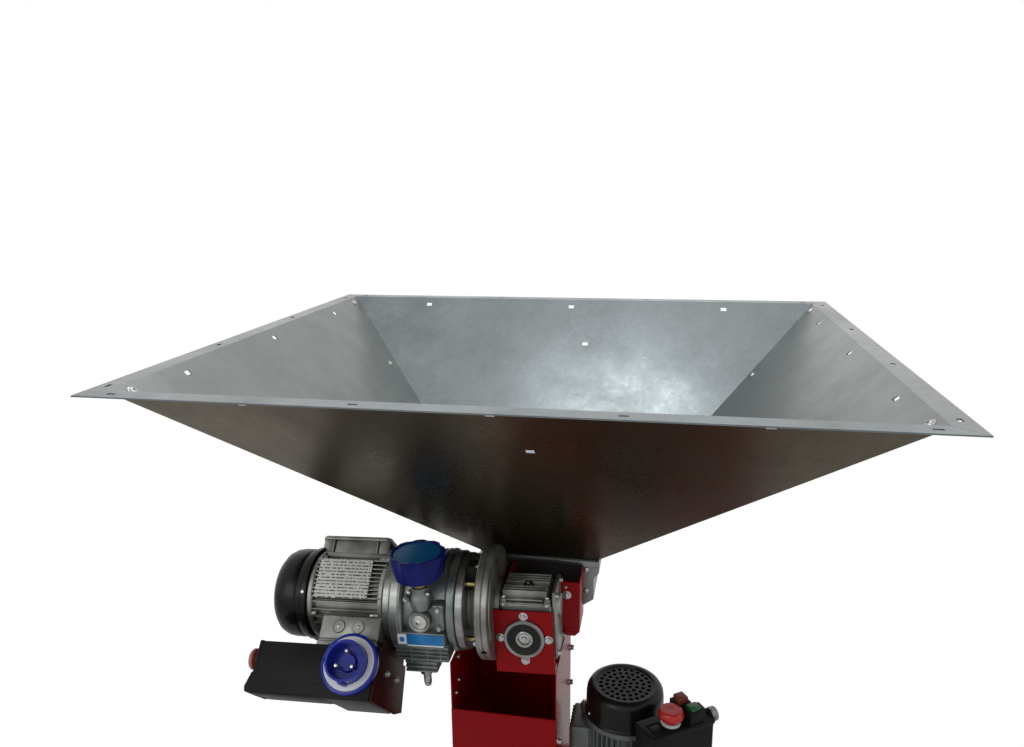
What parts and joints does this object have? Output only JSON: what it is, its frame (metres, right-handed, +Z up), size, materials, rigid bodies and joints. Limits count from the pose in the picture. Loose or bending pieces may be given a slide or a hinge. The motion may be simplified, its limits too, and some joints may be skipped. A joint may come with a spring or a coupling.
{
  "type": "grape crusher destemmer",
  "caption": "Hopper over a pair of motor-driven crushing rollers on a column, above a vertical destemming drum with its own motor on a square-tube stand.",
  "frame": {"origin": "on the floor, under the centre of the hopper's rim", "axes": "+Z up, +X to the right seen from the must spout, +Y away from the spout towards the back"},
  "size_m": [1.082, 0.927, 1.35],
  "materials": {
    "galvanised_steel": "galvanised sheet with spangle, semi-bright",
    "red_paint": "gloss enamel",
    "dark_red_paint": "gloss enamel",
    "cast_aluminium": "as cast, machined faces",
    "grey_paint": "satin machine paint on cast iron",
    "machined_steel": "turned and ground",
    "stainless_steel": "2B sheet",
    "black_plastic": "satin",
    "blue_plastic": "moulded",
    "red_button": "moulded",
    "green_button": "moulded",
    "bronze": "plain bronze"
  },
  "bodies": {
    "machine": {"hopper_front": "galvanised_steel", "hopper_back": "galvanised_steel", "hopper_left": "galvanised_steel", "hopper_right": "galvanised_steel", "crusher_side_left": "galvanised_steel", "crusher_side_right": "galvanised_steel", "crusher_plate_front": "galvanised_steel", "crusher_plate_back": "galvanised_steel", "bearing_front_right": "bronze", "bearing_front_left": "bronze", "bearing_back_right": "bronze", "bearing_back_left": "bronze", "gear_guard": "red_paint", "column_shell": "red_paint", "column_front_panel": "red_paint", "feed_chute": "red_paint", "gearbox_bracket": "red_paint", "gearbox_housing": "cast_aluminium", "gearbox_cover": "cast_aluminium", "gearbox_plate": "red_paint", "gearbox_end_cover": "cast_aluminium", "input_flange": "cast_aluminium", "variator_flange": "cast_aluminium", "variator_housing": "grey_paint", "roller_motor_frame": "cast_aluminium", "roller_motor_fan_cover": "black_plastic", "terminal_box": "cast_aluminium", "plug_switch_housing": "black_plastic", "power_inlet": "blue_plastic", "switch_bracket": "dark_red_paint", "drum_motor_frame": "grey_paint", "drum_motor_fan_cover": "black_plastic", "control_box": "black_plastic", "deck_plate": "red_paint", "deck_frame": "red_paint", "leg_front_left": "red_paint", "leg_front_right": "red_paint", "leg_back_left": "red_paint", "leg_back_right": "red_paint", "drum_jacket": "stainless_steel", "destemming_cage": "stainless_steel", "foot_bearing": "stainless_steel", "stem_chute": "stainless_steel"},
    "roller_motor_shaft": {"roller_motor_rotor": "machined_steel", "roller_motor_fan": "black_plastic", "variator_disc": "machined_steel"},
    "worm": {"worm_shaft": "machined_steel"},
    "driven_roller": {"roller_right": "stainless_steel", "roller_gear_right": "machined_steel", "worm_wheel": "bronze"},
    "idle_roller": {"roller_left": "stainless_steel", "roller_gear_left": "machined_steel"},
    "drum_shaft": {"drum_motor_rotor": "machined_steel", "drum_motor_fan": "black_plastic", "beater_shaft": "stainless_steel"},
    "handwheel": {"variator_handwheel": "blue_plastic"},
    "emergency_stop_button": {"emergency_stop": "red_button"},
    "start_button": {"start_button": "green_button"},
    "off_button": {"off_button": "red_button"},
    "plug_stop_button": {"plug_switch_stop_button": "red_button"}
  },
  "joints": [
    {"name": "roller_motor_spin", "type": "hinge", "parent": "machine", "child": "roller_motor_shaft", "pos_m": [-0.30246, -0.15, 0.91688], "axis": [0.999, 0, 0.0436], "continuous": true},
    {"name": "worm_spin", "type": "hinge", "parent": "machine", "child": "worm", "pos_m": [-0.00275, -0.15, 0.92996], "axis": [0.999, 0, 0.0436], "continuous": true},
    {"name": "driven_roller_spin", "type": "hinge", "parent": "machine", "child": "driven_roller", "pos_m": [-0.001, 0, 0.89], "axis": [0, 1, 0], "continuous": true},
    {"name": "idle_roller_spin", "type": "hinge", "parent": "machine", "child": "idle_roller", "pos_m": [-0.081, 0, 0.89], "axis": [0, 1, 0], "continuous": true},
    {"name": "drum_spin", "type": "hinge", "parent": "machine", "child": "drum_shaft", "pos_m": [0.157, -0.06, 0.25], "axis": [0, 0, 1], "continuous": true},
    {"name": "handwheel_turn", "type": "hinge", "parent": "machine", "child": "handwheel", "pos_m": [-0.16439, -0.225, 1.00999], "axis": [-0.0436, 0, 0.999], "range_deg": [-360, 360]},
    {"name": "emergency_stop_press", "type": "slide", "parent": "machine", "child": "emergency_stop_button", "axis": [0, 0, -1], "range_m": [0, 0.005], "stiffness_N_per_m": 600},
    {"name": "start_press", "type": "slide", "parent": "machine", "child": "start_button", "axis": [0, 0, -1], "range_m": [0, 0.004], "stiffness_N_per_m": 400},
    {"name": "off_press", "type": "slide", "parent": "machine", "child": "off_button", "axis": [0, 0, -1], "range_m": [0, 0.004], "stiffness_N_per_m": 400},
    {"name": "plug_stop_press", "type": "slide", "parent": "machine", "child": "plug_stop_button", "axis": [0.999, 0, 0.0436], "range_m": [0, 0.005], "stiffness_N_per_m": 500}
  ],
  "couplings": [
    {"joint": "worm_spin", "follows": "roller_motor_spin", "ratio": 0.4},
    {"joint": "driven_roller_spin", "follows": "roller_motor_spin", "ratio": 0.04},
    {"joint": "idle_roller_spin", "follows": "roller_motor_spin", "ratio": -0.04}
  ]
}
